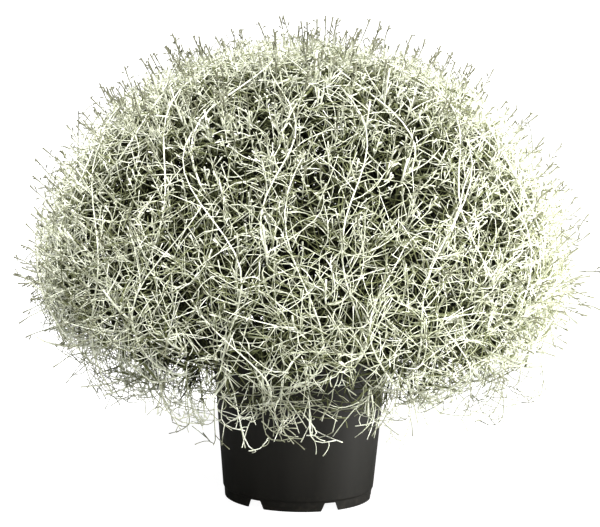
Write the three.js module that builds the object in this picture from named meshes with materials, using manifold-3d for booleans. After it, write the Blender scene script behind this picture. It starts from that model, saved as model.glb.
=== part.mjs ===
// A potted cushion bush, Leucophyta brownii, in a round nursery pot of thin black plastic.
// The bush is a dome of wiry, silver-felted stems. Each leafy stem stands in its own hole in the
// potting soil, rises or arches over the pot's rim, forks into leaders and carries fine twigs.
// Millimetres, +Z up, the origin on the ground under the centre of the pot, and the front at -Y.
import * as THREE from "three";
import { mergeVertices } from "three/addons/utils/BufferGeometryUtils.js";
import Module from "manifold-3d";

// The pot: a 19 cm container
const RIM_RADIUS = 95;
const POT_HEIGHT = 154;
const RIM_BAND = 11;
const RIM_LEDGE = 1;
const RIM_BEVEL = [1.3, 1.5];
const LIP_WIDTH = 1;
const LIP_FALL = 7;
const NECK_RADIUS = 87.5;
const BASE_RADIUS = 75;
const FOOT_INSET = 1;
const FOOT_HEIGHT = 9.5;
const FOOT_STEP = 1.5;
const WALL = 1.8;
const POT_SIDES = 40;
const NOTCH_COUNT = 6;
const FIRST_NOTCH_DEG = 25.5;
const NOTCH_HEIGHT = 8.4;
const NOTCH_TOP_WIDTH = 12;
const NOTCH_FOOT_WIDTH = 20;
const NOTCH_BELOW = 1;
const NOTCH_CUT = 12;
const NOTCH_CUT_FROM = 66;
const DRAIN_RING_RADIUS = 58;
const DRAIN_RADIUS = 5.5;
const DRAIN_SIDES = 8;

// The soil
const SOIL_TOP = 138;
const SOIL_CROWN = 5;
const SOIL_CRUMB = 2.4;
const SOIL_SIDES = 20;
const SOIL_RINGS = [0.72, 0.38];
const SOIL_GAP = 0.35;
const HOLE_DEPTH = 22;
const HOLE_GAP = 0.45;

// The crown: half a ball above its middle, and a squarer bowl below it
const CROWN_MIDDLE = 235;
const CROWN_RADIUS = 287;
const CROWN_UP = 242;
const CROWN_DOWN = 164;
const CROWN_UP_POWER = 2.05;
const CROWN_DOWN_POWER = 2.4;

// The leafy stems: where they stand, and how they rise
const STEM_COUNT = 36;
const ROOT_SPREAD = 50;
const ROOT_RADIUS = 2.4;
const ROOT_LEAN_DEG = 34;
const ROOT_LEAN_POWER = 1.4;
const ROOT_RISE = 30;
const STEM_TIP_RADIUS = 0.9;
const STEM_STEPS = 7;
const STEM_REACH = [0.92, 0.99];
const BOW_DEG = 70;
const BOW_SHARE = 0.48;
const APPROACH_SHARE = 0.38;
const TIP_LEAN_SHARE = 0.45;

// The low stems, which arch over the rim and hang
const LOWEST_AIM_DEG = 137;
const HANG_FROM_DEG = 88;
const ARCH_RISE = 85;
const ARCH_BOW_SHARE = 0.46;
const SHOULDER_SHARE = 0.8;
const SHOULDER_OUT = 18;
const SHOULDER_HEIGHT = [226, 246];
const RIM_CLEARANCE = 30;

// The leaders, which fork off a stem and run to the crown beside its tip
const LEADER_STARTS = [0.42, 0.64];
const LEADER_START_SPREAD = 0.05;
const LEADER_TURN_SPREAD = 0.25;
const LEADER_SWING_DEG = 14;
const LEADER_SWING_VIGOUR = [0.85, 1.15];
const LEADER_LOWER_DEG = 4;
const NARROWEST_TURN = 0.35;
const LEADER_REACH = [0.9, 1];
const LEADER_APPROACH_SHARE = 0.34;
const LEADER_TIP_RADIUS = 0.85;
const LEADER_STEPS = 4;
const KNEE_ALONG = 0.28;
const KNEE_ASIDE = 0.34;
const KNEE_LIFT = 0.1;
const FORK_SHARE = 0.66;

// The twigs, whose tips are spread evenly round the crown, and most of them near its outside
const TWIG_COUNT = 660;
const TWIG_SHARES = [0.98, 0.82, 0.93, 0.7, 0.98, 0.88, 0.5];
const TWIG_SHARE_SPREAD = 0.05;
const TWIG_LOWEST_DEG = 143;
const TWIG_FORK_DEG = 55;
const TWIG_PLACES = [0.1, 0.98];
const TWIG_PLACE_STEPS = 40;
const TWIG_ROOT_RADIUS = 0.62;
const TWIG_TIP_RADIUS = 0.5;
const TWIG_SHORTEST = 10;
const TWIG_STEP = 3;
const POT_CLEARANCE = 2;
const CELL_MARGIN = 1.8;

const GOLDEN_ANGLE = Math.PI * (3 - Math.sqrt(5));
const TURN = 2 * Math.PI;
const SLIVER = 0.05;

const wasm = await Module();
wasm.setup();

const rad = THREE.MathUtils.degToRad;
const lerp = THREE.MathUtils.lerp;
const vec = (x, y, z) => new THREE.Vector3(x, y, z);

// A repeatable draw from 0 to 1 for a set of whole-number keys
function draw(...keys) {
  let h = 0x811c9dc5;
  for (const key of keys) {
    h = Math.imul(h ^ key, 0x01000193);
    h ^= h >>> 15;
    h = Math.imul(h, 0x2c1b3c6d);
    h ^= h >>> 12;
  }
  return (h >>> 0) / 4294967296;
}

// The crown's height above or below its middle, and the power that sets how square it is there
const crownHalf = (above) => (above ? [CROWN_UP, CROWN_UP_POWER] : [CROWN_DOWN, CROWN_DOWN_POWER]);

// The point on the crown at this angle from the vertical and this heading, or a share of the way
function crownPoint(tilt, heading, share) {
  const [height, power] = crownHalf(tilt < Math.PI / 2);
  const across = Math.pow(Math.sin(tilt) / CROWN_RADIUS, power);
  const along = Math.pow(Math.abs(Math.cos(tilt)) / height, power);
  const reach = share * Math.pow(across + along, -1 / power);
  const out = reach * Math.sin(tilt);
  return vec(out * Math.cos(heading), out * Math.sin(heading), CROWN_MIDDLE + reach * Math.cos(tilt));
}

function inCrown(p) {
  const [height, power] = crownHalf(p.z > CROWN_MIDDLE);
  const across = Math.pow(Math.hypot(p.x, p.y) / CROWN_RADIUS, power);
  return across + Math.pow(Math.abs(p.z - CROWN_MIDDLE) / height, power) < 1;
}

const potRadius = (z) => lerp(BASE_RADIUS, NECK_RADIUS, z / (POT_HEIGHT - RIM_BAND));

// True where a twig would come within this much room of the pot or what it holds
function nearPot(p, room) {
  if (p.z > POT_HEIGHT + room) return false;
  const beside = p.z > POT_HEIGHT - RIM_BAND - room ? RIM_RADIUS : potRadius(p.z);
  return Math.hypot(p.x, p.y) < beside + room;
}

// The point at this share of a limb's length, with the limb's direction and thickness there
function placeOn(limb, at) {
  const whole = Math.min(Math.floor(at * (limb.points.length - 1)), limb.points.length - 2);
  const [from, to] = limb.points.slice(whole, whole + 2);
  return {
    point: from.clone().lerp(to, at * (limb.points.length - 1) - whole),
    along: to.clone().sub(from).normalize(),
    radius: lerp(limb.rootRadius, limb.tipRadius, at),
  };
}

// Points evenly along a smooth curve with any number of controls
function curvePoints(controls, steps) {
  return Array.from({ length: steps + 1 }, (_, step) => {
    let row = controls;
    while (row.length > 1) row = row.slice(1).map((next, k) => row[k].clone().lerp(next, step / steps));
    return row[0];
  });
}

// The direction with this heading and this angle from the vertical
const leaning = (heading, tilt) =>
  vec(Math.sin(tilt) * Math.cos(heading), Math.sin(tilt) * Math.sin(heading), Math.cos(tilt));

// The direction in which a stem or leader reaches the crown, which is more upright than the crown is
const tipWay = (heading, tilt) => leaning(heading, TIP_LEAN_SHARE * Math.min(tilt, Math.PI / 2));

// 0 for a stem or leader of the top and the sides, and up to 1 for the lowest ones, which hang
const hangShare = (tilt) => THREE.MathUtils.smoothstep(tilt, rad(HANG_FROM_DEG), rad(LOWEST_AIM_DEG));

// One stem's main axis: up out of its hole, and out to its place on the crown
function stemLimb(index) {
  const spread = (index + 0.5) / STEM_COUNT;
  const lowest = rad(LOWEST_AIM_DEG);
  const tilt = Math.acos(1 - spread * (1 - Math.cos(lowest)));
  const heading = index * GOLDEN_ANGLE;
  const aim = crownPoint(tilt, heading, lerp(...STEM_REACH, draw(index, 2)));
  const outward = leaning(heading, Math.PI / 2);
  const root = outward.clone().multiplyScalar(ROOT_SPREAD * Math.sqrt(spread));
  root.z = SOIL_TOP + SOIL_CROWN + SOIL_CRUMB;
  const start = leaning(heading, rad(ROOT_LEAN_DEG) * Math.pow(tilt / lowest, ROOT_LEAN_POWER));

  // A stem for the top or the side bows out and turns up, and a low one arches over the rim.
  const hang = hangShare(tilt);
  const bow = rad(BOW_DEG) * lerp(Math.min(tilt / (Math.PI / 2), 1), ARCH_BOW_SHARE, hang);
  const span = aim.distanceTo(root);
  const far = SHOULDER_SHARE * Math.hypot(aim.x, aim.y);
  const overRim = Math.max(far, RIM_RADIUS + RIM_CLEARANCE) + SHOULDER_OUT;
  const shoulder = outward.clone().multiplyScalar(overRim).setZ(lerp(...SHOULDER_HEIGHT, draw(index, 3)));
  const rise = root.clone().addScaledVector(start, ROOT_RISE);
  const out = root.clone().addScaledVector(leaning(heading, bow), lerp(BOW_SHARE * span, ARCH_RISE, hang));
  const approach = aim.clone().addScaledVector(tipWay(heading, tilt), -APPROACH_SHARE * span);
  const points = curvePoints([root, rise, out, approach.lerp(shoulder, hang), aim], STEM_STEPS);
  return { points, rootRadius: ROOT_RADIUS, tipRadius: STEM_TIP_RADIUS, start, tilt, heading };
}

// A leader: it forks off the stem and runs out to the crown beside the stem's own tip.
function leaderLimb(stem, index, number) {
  const at = LEADER_STARTS[number] + LEADER_START_SPREAD * (draw(index, number, 11) - 0.5);
  const { point, along, radius } = placeOn(stem, at);
  const roll = (number / LEADER_STARTS.length + LEADER_TURN_SPREAD * draw(index, 12)) * TURN;
  const swing = rad(LEADER_SWING_DEG) * lerp(...LEADER_SWING_VIGOUR, draw(index, number, 13));
  const lowest = rad(LOWEST_AIM_DEG + LEADER_LOWER_DEG);
  const tilt = Math.min(Math.abs(stem.tilt + swing * Math.cos(roll)), lowest);
  const aside = (swing * Math.sin(roll)) / Math.max(Math.sin(stem.tilt), NARROWEST_TURN);
  const heading = stem.heading + aside;
  const aim = crownPoint(tilt, heading, lerp(...LEADER_REACH, draw(index, number, 14)));
  const span = aim.distanceTo(point);
  const side = aim.clone().sub(point).projectOnPlane(along).normalize();
  const knee = point.clone().addScaledVector(along, KNEE_ALONG * span);
  knee.addScaledVector(side, KNEE_ASIDE * span);
  if (stem.tilt > rad(HANG_FROM_DEG)) knee.z += KNEE_LIFT * span;
  const approach = aim.clone().addScaledVector(tipWay(heading, tilt), -LEADER_APPROACH_SHARE * span);
  const points = curvePoints([point, knee, approach.lerp(knee, hangShare(tilt)), aim], LEADER_STEPS);
  return { points, rootRadius: FORK_SHARE * radius, tipRadius: LEADER_TIP_RADIUS };
}

// Each stem's axis and leaders, before it has its twigs
const frames = Array.from({ length: STEM_COUNT }, (_, index) => {
  const stem = stemLimb(index);
  return [stem, ...LEADER_STARTS.map((_, number) => leaderLimb(stem, index, number))];
});
const bones = frames.map((limbs) =>
  limbs.flatMap(({ points }) => points.slice(1).map((to, k) => new THREE.Line3(points[k], to))),
);

// A twig keeps to the space that is nearer to its own stem than to any other.
function distanceToStem(p, index) {
  const nearest = vec(0, 0, 0);
  return Math.min(...bones[index].map((bone) => bone.closestPointToPoint(p, true, nearest).distanceTo(p)));
}

function hasRoom(p, index) {
  if (!inCrown(p) || nearPot(p, POT_CLEARANCE)) return false;
  const own = distanceToStem(p, index) + CELL_MARGIN;
  return bones.every((_, other) => other === index || distanceToStem(p, other) > own);
}

// The places on all limbs that twigs can grow from
const forks = frames.flatMap((limbs, index) =>
  limbs.flatMap((limb) =>
    Array.from({ length: TWIG_PLACE_STEPS + 1 }, (_, order) => {
      const at = lerp(...TWIG_PLACES, order / TWIG_PLACE_STEPS);
      return { index, order, ...placeOn(limb, at) };
    }),
  ),
);

// The fork for a twig with this tip: the nearest one, or one further back along the same limb, from
// which the twig leaves at a sharper angle
function forkFor(tip) {
  const away = forks.map(({ point }) => point.distanceToSquared(tip));
  let chosen = away.indexOf(Math.min(...away));
  while (forks[chosen].order > 0) {
    const { point, along } = forks[chosen];
    if (tip.clone().sub(point).angleTo(along) < rad(TWIG_FORK_DEG)) break;
    chosen -= 1;
  }
  return forks[chosen];
}

// A twig: it runs from its fork towards its tip, and stops there or where its stem's space ends.
function twigLimb(number) {
  const spread = (number + 0.5) / TWIG_COUNT;
  const tilt = Math.acos(1 - spread * (1 - Math.cos(rad(TWIG_LOWEST_DEG))));
  const share = TWIG_SHARES[number % TWIG_SHARES.length] + TWIG_SHARE_SPREAD * (draw(number, 22) - 0.5);
  const tip = crownPoint(tilt, number * GOLDEN_ANGLE, share);
  const { index, point, radius } = forkFor(tip);
  const steps = Math.floor(tip.distanceTo(point) / TWIG_STEP);
  const after = (step) => point.clone().lerp(tip, step / steps);
  let step = 0;
  while (step < steps && hasRoom(after(step + 1), index)) step += 1;
  if (step === 0 || after(step).distanceTo(point) < TWIG_SHORTEST) return null;
  const rootRadius = Math.min(TWIG_ROOT_RADIUS, FORK_SHARE * radius);
  return { index, points: [point, after(step)], rootRadius, tipRadius: TWIG_TIP_RADIUS };
}

const twigs = Array.from({ length: TWIG_COUNT }, (_, number) => twigLimb(number)).filter(Boolean);

// A closed, tapering limb through its points, with a few flat sides
function limbGeometry({ points, rootRadius, tipRadius }, sides) {
  const last = points.length - 1;
  const corners = [];
  const faces = [];
  let across = vec(0.31, 0.95, 0.05);
  points.forEach((centre, ring) => {
    const along = points[Math.min(ring + 1, last)].clone().sub(points[Math.max(ring - 1, 0)]).normalize();
    across = across.clone().projectOnPlane(along).normalize();
    const third = along.clone().cross(across);
    const radius = lerp(rootRadius, tipRadius, ring / last);
    for (let side = 0; side < sides; side += 1) {
      const angle = (side * TURN) / sides;
      const corner = centre.clone().addScaledVector(across, radius * Math.cos(angle));
      corners.push(corner.addScaledVector(third, radius * Math.sin(angle)));
      if (ring === last) continue;
      const here = ring * sides + side;
      const next = ring * sides + ((side + 1) % sides);
      faces.push(here, next, next + sides, here, next + sides, here + sides);
    }
  });
  const tip = last * sides;
  for (let side = 1; side < sides - 1; side += 1) {
    faces.push(0, side + 1, side, tip, tip + side, tip + side + 1);
  }
  return new THREE.BufferGeometry().setFromPoints(corners).setIndex(faces);
}

// A closed geometry as a solid that can be joined and cut
function solidOf(geometry) {
  const merged = mergeVertices(geometry.deleteAttribute("normal").deleteAttribute("uv"), 1e-4);
  const vertProperties = merged.attributes.position.array;
  const triVerts = new Uint32Array(merged.index.array);
  return new wasm.Manifold(new wasm.Mesh({ numProp: 3, vertProperties, triVerts }));
}

// A named piece, without the slivers that joining and cutting leave on its flat faces
function part(name, solid, material) {
  const { vertProperties, triVerts } = solid.asOriginal().simplify(SLIVER).getMesh();
  const geometry = new THREE.BufferGeometry();
  geometry.setAttribute("position", new THREE.BufferAttribute(vertProperties, 3));
  geometry.setIndex(new THREE.BufferAttribute(triVerts, 1));
  geometry.computeVertexNormals();
  const mesh = new THREE.Mesh(geometry, material);
  mesh.name = name;
  return mesh;
}

function turned(profile, sides) {
  const outline = profile.map(([radius, height]) => new THREE.Vector2(radius, height));
  return new THREE.LatheGeometry(outline, sides).rotateX(Math.PI / 2);
}

// The pot: a thin tapered wall with a turned-out rim, on a foot ring with drainage notches
function potSolid() {
  const neck = POT_HEIGHT - RIM_BAND;
  const floorRadius = potRadius(FOOT_HEIGHT) - FOOT_INSET - WALL;
  const shell = turned(
    [
      [0, FOOT_HEIGHT],
      [floorRadius, FOOT_HEIGHT],
      [BASE_RADIUS - FOOT_INSET - WALL, 0],
      [BASE_RADIUS - FOOT_INSET, 0],
      [potRadius(FOOT_HEIGHT) - FOOT_INSET, FOOT_HEIGHT],
      [potRadius(FOOT_HEIGHT + FOOT_STEP), FOOT_HEIGHT + FOOT_STEP],
      [NECK_RADIUS, neck],
      [RIM_RADIUS - RIM_LEDGE, neck + RIM_LEDGE],
      [RIM_RADIUS, POT_HEIGHT - RIM_BEVEL[1]],
      [RIM_RADIUS - RIM_BEVEL[0], POT_HEIGHT],
      [NECK_RADIUS + LIP_WIDTH, POT_HEIGHT],
      [NECK_RADIUS - WALL, POT_HEIGHT - LIP_FALL],
      [floorRadius, FOOT_HEIGHT + WALL],
      [0, FOOT_HEIGHT + WALL],
    ],
    POT_SIDES,
  );
  const notch = new THREE.Shape([
    new THREE.Vector2(-NOTCH_FOOT_WIDTH / 2, -NOTCH_BELOW),
    new THREE.Vector2(NOTCH_FOOT_WIDTH / 2, -NOTCH_BELOW),
    new THREE.Vector2(NOTCH_TOP_WIDTH / 2, NOTCH_HEIGHT),
    new THREE.Vector2(-NOTCH_TOP_WIDTH / 2, NOTCH_HEIGHT),
  ]);
  let pot = solidOf(shell);
  for (let k = 0; k < NOTCH_COUNT; k += 1) {
    const heading = rad(FIRST_NOTCH_DEG - 90) + (k * TURN) / NOTCH_COUNT;
    const cutter = new THREE.ExtrudeGeometry(notch, { depth: NOTCH_CUT, bevelEnabled: false })
      .rotateX(Math.PI / 2)
      .rotateZ(Math.PI / 2)
      .translate(NOTCH_CUT_FROM, 0, 0)
      .rotateZ(heading);
    const drain = new THREE.CylinderGeometry(DRAIN_RADIUS, DRAIN_RADIUS, 3 * WALL, DRAIN_SIDES)
      .rotateX(Math.PI / 2)
      .translate(DRAIN_RING_RADIUS, 0, FOOT_HEIGHT + WALL / 2)
      .rotateZ(heading);
    pot = pot.subtract(solidOf(cutter)).subtract(solidOf(drain));
  }
  return pot;
}

// The soil: it fills the pot to a little under the rim, and each stem has a plain hole in it.
function soilSolid() {
  const base = FOOT_HEIGHT + WALL + SOIL_GAP;
  const sideRadius = (z) => potRadius(z) - FOOT_INSET - WALL - SOIL_GAP;
  const edge = sideRadius(SOIL_TOP);
  const blank = turned(
    [
      [0, base],
      [sideRadius(base), base],
      ...[1, ...SOIL_RINGS, 0].map((share) => [share * edge, SOIL_TOP]),
    ],
    SOIL_SIDES,
  );
  const crumbly = mergeVertices(blank.deleteAttribute("normal").deleteAttribute("uv"), 1e-4);
  const place = crumbly.getAttribute("position");
  for (let i = 0; i < place.count; i += 1) {
    const share = Math.hypot(place.getX(i), place.getY(i)) / edge;
    if (place.getZ(i) < SOIL_TOP - 1 || share > 0.99) continue;
    place.setZ(i, SOIL_TOP + SOIL_CROWN * (1 - share * share) + SOIL_CRUMB * (draw(i, 31) - 0.5));
  }
  return frames.reduce((soil, [stem]) => soil.subtract(holeSolid(stem)), solidOf(crumbly));
}

function holeSolid({ points, start }) {
  const bottom = points[0].clone().addScaledVector(start, -HOLE_DEPTH - HOLE_GAP);
  const top = points[0].clone().addScaledVector(start, HOLE_DEPTH);
  const radius = ROOT_RADIUS + HOLE_GAP;
  return solidOf(limbGeometry({ points: [bottom, top], rootRadius: radius, tipRadius: radius }, 4));
}

// One leafy stem: its main axis, its leaders and their twigs, fused into one solid
function stemSolid([stem, ...leaders], index) {
  const buried = stem.points[0].clone().addScaledVector(stem.start, -HOLE_DEPTH);
  const limbs = [{ ...stem, points: [buried, ...stem.points] }, ...leaders];
  const own = twigs.filter((twig) => twig.index === index);
  return [...limbs.map((limb) => limbGeometry(limb, 4)), ...own.map((twig) => limbGeometry(twig, 3))]
    .map(solidOf)
    .reduce((fused, solid) => fused.add(solid));
}

const potPlastic = new THREE.MeshStandardMaterial({ color: 0x2b2926, roughness: 0.5, metalness: 0 });
const pottingSoil = new THREE.MeshStandardMaterial({ color: 0x2c2018, roughness: 0.95, metalness: 0 });
const silverFelt = new THREE.MeshStandardMaterial({ color: 0xd5dac3, roughness: 0.85, metalness: 0 });

const bush = new THREE.Group();
bush.add(part("pot", potSolid(), potPlastic));
bush.add(part("soil", soilSolid(), pottingSoil));
frames.forEach((limbs, index) => {
  const name = `leafy_stem_${String(index + 1).padStart(2, "0")}`;
  bush.add(part(name, stemSolid(limbs, index), silverFelt));
});

export default bush;
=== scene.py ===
from collections import namedtuple
from math import acos, cos, hypot, pi, radians, sin, sqrt

import bpy
import numpy as np
from mathutils import Matrix, Vector
from mathutils.kdtree import KDTree
from numpy.linalg import norm


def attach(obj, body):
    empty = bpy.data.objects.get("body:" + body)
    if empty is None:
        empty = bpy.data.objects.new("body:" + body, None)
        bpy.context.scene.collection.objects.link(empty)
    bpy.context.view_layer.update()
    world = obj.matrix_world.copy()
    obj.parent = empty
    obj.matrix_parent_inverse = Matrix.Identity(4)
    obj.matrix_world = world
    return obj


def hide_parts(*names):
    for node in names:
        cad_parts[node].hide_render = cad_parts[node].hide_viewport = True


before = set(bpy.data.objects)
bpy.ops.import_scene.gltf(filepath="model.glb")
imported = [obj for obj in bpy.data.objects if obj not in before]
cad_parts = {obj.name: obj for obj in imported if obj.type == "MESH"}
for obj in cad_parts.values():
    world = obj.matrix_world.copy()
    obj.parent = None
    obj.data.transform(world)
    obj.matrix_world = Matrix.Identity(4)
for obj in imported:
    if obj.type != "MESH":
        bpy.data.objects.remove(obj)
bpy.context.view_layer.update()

# A potted cushion bush in a nursery pot. The solids' stems, leaders and boughs are drawn again, finer,
# and carry the twigs, shoots and hanging strands that the solids leave out.

# The pot: a 19 cm container. Every size here is in metres.
RIM_RADIUS = 0.095
POT_HEIGHT = 0.154
RIM_BAND = 0.011
RIM_LEDGE = 0.001
RIM_BEVEL = (0.0013, 0.0015)
LIP_WIDTH = 0.001
LIP_FALL = 0.007
NECK_RADIUS = 0.0875
BASE_RADIUS = 0.075
FOOT_INSET = 0.001
FOOT_HEIGHT = 0.0095
FOOT_STEP = 0.0015
WALL = 0.0018
POT_SIDES = 144
NOTCH_COUNT = 6
FIRST_NOTCH = radians(25.5)
NOTCH_HEIGHT = 0.0084
NOTCH_TOP_WIDTH = 0.012
NOTCH_FOOT_WIDTH = 0.020
NOTCH_BELOW = 0.001
NOTCH_CUT = (0.066, 0.078)
DRAIN_RING_RADIUS = 0.058
DRAIN_RADIUS = 0.0055
DRAIN_SIDES = 32

# The soil. Each wave of its top has a length, a share of the whole and a shift.
SOIL_TOP = 0.138
SOIL_CROWN = 0.005
SOIL_CRUMB = 0.0024
SOIL_GAP = 0.00035
SOIL_WAVES = ((0.031, 0.4, 0.7), (0.013, 0.35, 2.1), (0.0056, 0.25, 4.4))
SOIL_RINGS = 44
SOIL_AROUND = 150
HOLE_DEPTH = 0.022
CRUMB_COUNT = 900
CRUMB_SIZE = (0.0007, 0.0022)
PERLITE_COUNT = 46
PERLITE_SIZE = (0.0009, 0.0016)

# The crown: half a ball above its middle, and a squarer bowl below it
CROWN_MIDDLE = 0.235
CROWN_RADIUS = 0.287
CROWN_UP = 0.242
CROWN_DOWN = 0.164
CROWN_UP_POWER = 2.05
CROWN_DOWN_POWER = 2.4

# The leafy stems, as in the solids: where they stand, and how they rise
STEM_COUNT = 36
ROOT_SPREAD = 0.050
ROOT_RADIUS = 0.0024
ROOT_LEAN = radians(34)
ROOT_LEAN_POWER = 1.4
ROOT_RISE = 0.030
STEM_TIP_RADIUS = 0.0009
STEM_STEPS = 7
STEM_REACH = (0.92, 0.99)
BOW = radians(70)
BOW_SHARE = 0.48
APPROACH_SHARE = 0.38
TIP_LEAN_SHARE = 0.45

# The low stems, which arch over the rim and hang
LOWEST_AIM = radians(137)
HANG_FROM = radians(88)
ARCH_RISE = 0.085
ARCH_BOW_SHARE = 0.46
SHOULDER_SHARE = 0.8
SHOULDER_OUT = 0.018
SHOULDER_HEIGHT = (0.226, 0.246)
RIM_CLEARANCE = 0.030

# The leaders, which fork off a stem and run to the crown beside its tip
LEADER_STARTS = (0.42, 0.64)
LEADER_START_SPREAD = 0.05
LEADER_TURN_SPREAD = 0.25
LEADER_SWING = radians(14)
LEADER_SWING_VIGOUR = (0.85, 1.15)
LEADER_LOWER = radians(4)
NARROWEST_TURN = 0.35
LEADER_REACH = (0.9, 1.0)
LEADER_APPROACH_SHARE = 0.34
LEADER_TIP_RADIUS = 0.00085
LEADER_STEPS = 4
KNEE_ALONG = 0.28
KNEE_ASIDE = 0.34
KNEE_LIFT = 0.1
FORK_SHARE = 0.66

# The solids' boughs, whose tips are spread evenly round the crown, and most of them near its outside
BOUGH_COUNT = 660
BOUGH_SHARES = (0.98, 0.82, 0.93, 0.7, 0.98, 0.88, 0.5)
BOUGH_SHARE_SPREAD = 0.05
BOUGH_LOWEST = radians(143)
BOUGH_FORK = radians(55)
BOUGH_PLACES = (0.1, 0.98)
BOUGH_PLACE_STEPS = 40
BOUGH_SHORTEST = 0.010
BOUGH_STEP = 0.003
BOUGH_BOW = 0.10
POT_CLEARANCE = 0.002
CELL_MARGIN = 0.0018

# How fine growth turns: up and out over the dome, and out and down in the skirt
SKIRT_TOP = 0.170
UPRIGHT_FROM = 0.290
OUTWARD = (0.35, 0.80)
SKIRT_FALL = -0.60

# How dense it is at each height
SKIRT_HEIGHTS = (0.085, 0.115, 0.145, 0.170, 0.195)
SKIRT_FULLNESS = (0.03, 0.08, 0.19, 0.46, 1.0)

# The crown's soft humps, as paces along x, y and z with a shift, and its sloping shoulders
HUMP = 0.007
HUMP_WAVES = ((63, 0, 21, 0.7), (0, 58, -26, 2.1), (-33, 0, 71, 4.0), (47, 52, 0, 5.2))
SLOPE = 0.03
SLOPE_HEIGHT = 0.35
SLOPE_SPREAD = 0.07

# How growth gives way to the crown's surface
BEND_DEPTH = 0.07
REACH_EXCESS = 0.02
SHORTENING = 0.72

# The finer growth: how many there are, how many rings or pieces each has, and how it forks
AXIS_RINGS = 26
LEADER_RINGS = 13
BOUGH_STEPS = 6
FAR_FORK = np.radians((18, 32))
NEAR_FORK = np.radians((32, 62))
RISER_COUNT = 54
RISER_STEPS = 14
SPIRE_STEPS = 5
STRAND_COUNT = 190
STRAND_STEPS = 10

# How far each point of a twig and of a spire looks like a bud
TWIG_BUD = (0, 0, 0, 0, 0.1, 0.5)
SPIRE_BUD = (0, 0, 0.1, 0.3, 0.5, 1)

# How far out the woody kinds and the growth over the pot look at most, which keeps them from most of the
# painted shade at the crown's outline, and how far out the outer skirt looks, which gives it that painted
# shade
WOODY_RADIUS = 0.00062
WOODY_LOOK = 0.92
PALE_LOOK = 0.90
SKIRT_SHADE_LOOK = 0.96

# Colours, as the stops of ramps and as plain colours
# The felt's colour by how far out a point looks. Painted shade darkens it to near black deep inside, on
# top of the bare inner twigs' own duller colour. It also greys the outermost tips, partly their own
# greener colour and partly painted shade at the crown's outline.
FELT_AND_SHADE_BY_SHARE = (
    (0.62, (0.014, 0.016, 0.003)),
    (0.77, (0.034, 0.038, 0.011)),
    (0.83, (0.120, 0.128, 0.062)),
    (0.875, (0.880, 0.885, 0.780)),
    (0.907, (0.880, 0.888, 0.780)),
    (0.940, (0.400, 0.405, 0.320)),
    (0.98, (0.200, 0.202, 0.145)),
)
# A multiplier for each piece's random tone. Its dark end, which the thatch and some twigs take, paints
# shade between the outer twigs, as well as the inner twigs' own duller colour.
FELT_BY_TONE_AND_SHADE = (
    (0.0, (0.09, 0.10, 0.04)),
    (0.3, (0.28, 0.295, 0.175)),
    (0.55, (0.84, 0.85, 0.78)),
    (1.0, (1.14, 1.14, 1.14)),
)
FELT_MOTTLE = ((0.35, (0.80, 0.82, 0.74)), (0.62, (1.0, 1.0, 1.0)))
BUD_COLOUR = (0.13, 0.13, 0.085, 1)
BUD_SHARES = (0.90, 0.97)
PLASTIC_FLOW = ((0.3, (0.0070, 0.0066, 0.0053)), (0.7, (0.0108, 0.0102, 0.0083)))
PLASTIC_STRETCH = (1.0, 1.0, 0.12)
PLASTIC_ROUGHNESS = (0.50, 0.62)
DUST_COLOUR = (0.060, 0.050, 0.038, 1)
DUST_SPECKS = ((0.50, (0, 0, 0)), (0.68, (1, 1, 1)))
DUST_TOP = 0.022
DUST_MOST = 0.2
DAMP_SOIL = (
    (0.35, (0.010, 0.0065, 0.004)),
    (0.55, (0.030, 0.019, 0.011)),
    (0.75, (0.062, 0.041, 0.025)),
)
PERLITE = ((0.3, (0.45, 0.44, 0.40)), (0.7, (0.72, 0.70, 0.66)))
FLOOR_TINT = ((0.3, (0.38, 0.38, 0.38)), (0.7, (0.40, 0.40, 0.40)))
FLOOR_GLOW = 2.4
STUDIO_WHITE = (1, 1, 1, 1)
STUDIO_FILL = (0.16, 0.163, 0.166, 1)

# The camera
CAMERA_ASIDE = -0.002
CAMERA_DISTANCE = 2.2
CAMERA_HEIGHT = 0.54
LOOK_DOWN = radians(7.86)
ROLL = radians(1.0)
FRAME_WIDTH = 0.6

GOLDEN_ANGLE = pi * (3 - sqrt(5))
TURN = 2 * pi
SEED = 20

# A main axis or a leader. Only a main axis has the last three, which are how it starts and where it aims.
Limb = namedtuple("Limb", "controls points root_radius start tilt heading", defaults=[None] * 3)

# Some paths, as an array of path, step and xyz, and the stem that each path is of
Growth = namedtuple("Growth", "paths owners")

# Every place that growth can start from, with its number on its path and the gap to the next
Places = namedtuple("Places", "points ways owners orders gaps")

# How a kind of side shoot grows. Reach and shares are shares of the crown. Curl is how far a shoot
# bends, pull how much it turns outwards, and bend how far it gives way to the crown's surface. Thin
# gives the share that stays at each height, side is the cube that holds one shoot at most, and taper
# is how long shoots at the parent's tip are, as a share of those at its root.
RULE_FIELDS = "steps spacing lean length curl pull bend reach shares thin side taper"
Rule = namedtuple("Rule", RULE_FIELDS, defaults=[1.0])


# Growth rules shared with the solids


def draw(*keys):
    """A repeatable draw from 0 to 1 for a set of whole-number keys."""
    state, limit = 0x811C9DC5, 0xFFFFFFFF
    for key in keys:
        state ^= key
        for factor, shift in ((0x01000193, 15), (0x2C1B3C6D, 12)):
            state = (state * factor) & limit
            state ^= state >> shift
    return state / (limit + 1)


def lerp(a, b, t):
    return a + (b - a) * t


def smoothstep(t):
    t = np.clip(t, 0, 1)
    return t * t * (3 - 2 * t)


def unit(v):
    return v / norm(v, axis=-1, keepdims=True)


def across(p):
    """How far each point is from the pot's axis."""
    return np.hypot(p[..., 0], p[..., 1])


def around(out, heading, height):
    """The point this far from the pot's axis, on this heading and at this height."""
    return np.array([out * cos(heading), out * sin(heading), height])


def leaning(heading, tilt):
    """The direction with this heading and this angle from the vertical."""
    return around(sin(tilt), heading, cos(tilt))


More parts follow.
